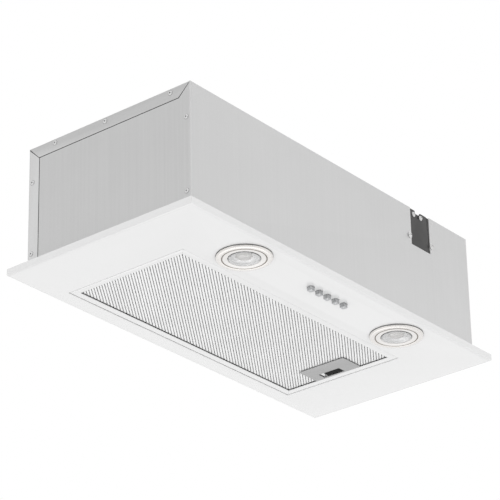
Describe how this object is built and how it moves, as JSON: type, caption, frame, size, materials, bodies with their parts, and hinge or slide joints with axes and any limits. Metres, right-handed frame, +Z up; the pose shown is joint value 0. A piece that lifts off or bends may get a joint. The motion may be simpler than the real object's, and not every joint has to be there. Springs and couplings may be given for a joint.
{
  "type": "built-in cooker hood",
  "caption": "Built-in kitchen cooker hood: white bottom panel with mesh grease filter and latch, lamps and push buttons, under a riveted sheet housing with blower and duct collar.",
  "frame": {"origin": "centre of the seating plane, on top of the panel's folded rim, where the hood meets the underside of a cabinet", "axes": "+X along the long side, towards the end with the filter latch; -Y towards the side with the lamps, buttons and terminal box; +Z up towards the duct collar"},
  "size_m": [0.525, 0.255, 0.1973],
  "materials": {
    "white_paint": "semi-gloss",
    "galvanised": "satin",
    "satin_steel": "satin",
    "satin_nickel": "satin",
    "aluminium": "mill",
    "chrome": "polished",
    "black_plastic": "matte",
    "grey_plastic": "matte",
    "white_ceramic": "semi-gloss",
    "clear_glass": "clear"
  },
  "bodies": {
    "housing": {"bottom_panel": "white_paint", "front_wall": "galvanised", "back_wall": "galvanised", "back_strip_left": "galvanised", "back_strip_right": "galvanised", "top_plate": "galvanised", "top_strip_left": "galvanised", "top_strip_right": "galvanised", "side_plate_left": "galvanised", "side_plate_right": "galvanised", "outlet_collar": "galvanised", "flap_pin": "satin_steel", "scroll_left": "grey_plastic", "scroll_right": "grey_plastic", "motor_body": "satin_steel", "motor_bracket": "galvanised", "terminal_box": "black_plastic", "cable_clamp": "black_plastic", "clamp_screw_1": "chrome", "clamp_screw_2": "chrome", "wall_screw_1": "chrome", "wall_screw_2": "chrome", "switch_block": "grey_plastic", "lamp_bezel_left": "satin_nickel", "lamp_body_left": "white_ceramic", "lamp_lens_left": "clear_glass", "lamp_holder_left": "white_ceramic", "rivet_left_1": "satin_steel", "rivet_left_2": "satin_steel", "rivet_left_3": "satin_steel", "rivet_left_4": "satin_steel", "rivet_left_5": "satin_steel", "rivet_left_6": "satin_steel", "rivet_left_7": "satin_steel", "lamp_bezel_right": "satin_nickel", "lamp_body_right": "white_ceramic", "lamp_lens_right": "clear_glass", "lamp_holder_right": "white_ceramic", "rivet_right_1": "satin_steel", "rivet_right_2": "satin_steel", "rivet_right_3": "satin_steel", "rivet_right_4": "satin_steel", "rivet_right_5": "satin_steel", "rivet_right_6": "satin_steel", "rivet_right_7": "satin_steel"},
    "filter": {"filter_frame": "white_paint", "filter_mesh_lower": "aluminium", "filter_mesh_upper": "aluminium", "latch_plate": "satin_steel", "latch_spring": "satin_steel"},
    "latch": {"latch_slider": "satin_steel"},
    "rotor": {"impeller": "black_plastic", "motor_shaft": "satin_steel"},
    "push_button_1": {"button_1": "chrome"},
    "push_button_2": {"button_2": "chrome"},
    "push_button_3": {"button_3": "chrome"},
    "push_button_4": {"button_4": "chrome"},
    "push_button_5": {"button_5": "chrome"},
    "back_flap": {"flap_back": "aluminium"},
    "front_flap": {"flap_front": "aluminium"}
  },
  "joints": [
    {"name": "filter_tilt", "type": "hinge", "parent": "housing", "child": "filter", "pos_m": [-0.187, 0.02745, -0.0078], "axis": [0, 1, 0], "range_deg": [0, 70]},
    {"name": "latch_slide", "type": "slide", "parent": "filter", "child": "latch", "axis": [-1, 0, 0], "range_m": [-0.004, 0.002], "stiffness_N_per_m": 250, "springref_m": -0.004, "deforming": ["latch_spring"]},
    {"name": "rotor_spin", "type": "hinge", "parent": "housing", "child": "rotor", "pos_m": [0, -0.02, 0.076], "axis": [1, 0, 0], "continuous": true},
    {"name": "button_1_press", "type": "slide", "parent": "housing", "child": "push_button_1", "axis": [0, 0, 1], "range_m": [0, 0.0035], "stiffness_N_per_m": 300, "springref_m": -0.001},
    {"name": "button_2_press", "type": "slide", "parent": "housing", "child": "push_button_2", "axis": [0, 0, 1], "range_m": [0, 0.0035], "stiffness_N_per_m": 300, "springref_m": -0.001},
    {"name": "button_3_press", "type": "slide", "parent": "housing", "child": "push_button_3", "axis": [0, 0, 1], "range_m": [0, 0.0035], "stiffness_N_per_m": 300, "springref_m": -0.001},
    {"name": "button_4_press", "type": "slide", "parent": "housing", "child": "push_button_4", "axis": [0, 0, 1], "range_m": [0, 0.0035], "stiffness_N_per_m": 300, "springref_m": -0.001},
    {"name": "button_5_press", "type": "slide", "parent": "housing", "child": "push_button_5", "axis": [0, 0, 1], "range_m": [0, 0.0035], "stiffness_N_per_m": 300, "springref_m": -0.001},
    {"name": "flap_back_swing", "type": "hinge", "parent": "housing", "child": "back_flap", "pos_m": [0, 0.024, 0.1604], "axis": [1, 0, 0], "range_deg": [0, 75]},
    {"name": "flap_front_swing", "type": "hinge", "parent": "housing", "child": "front_flap", "pos_m": [0, 0.024, 0.1604], "axis": [-1, 0, 0], "range_deg": [0, 75]}
  ]
}
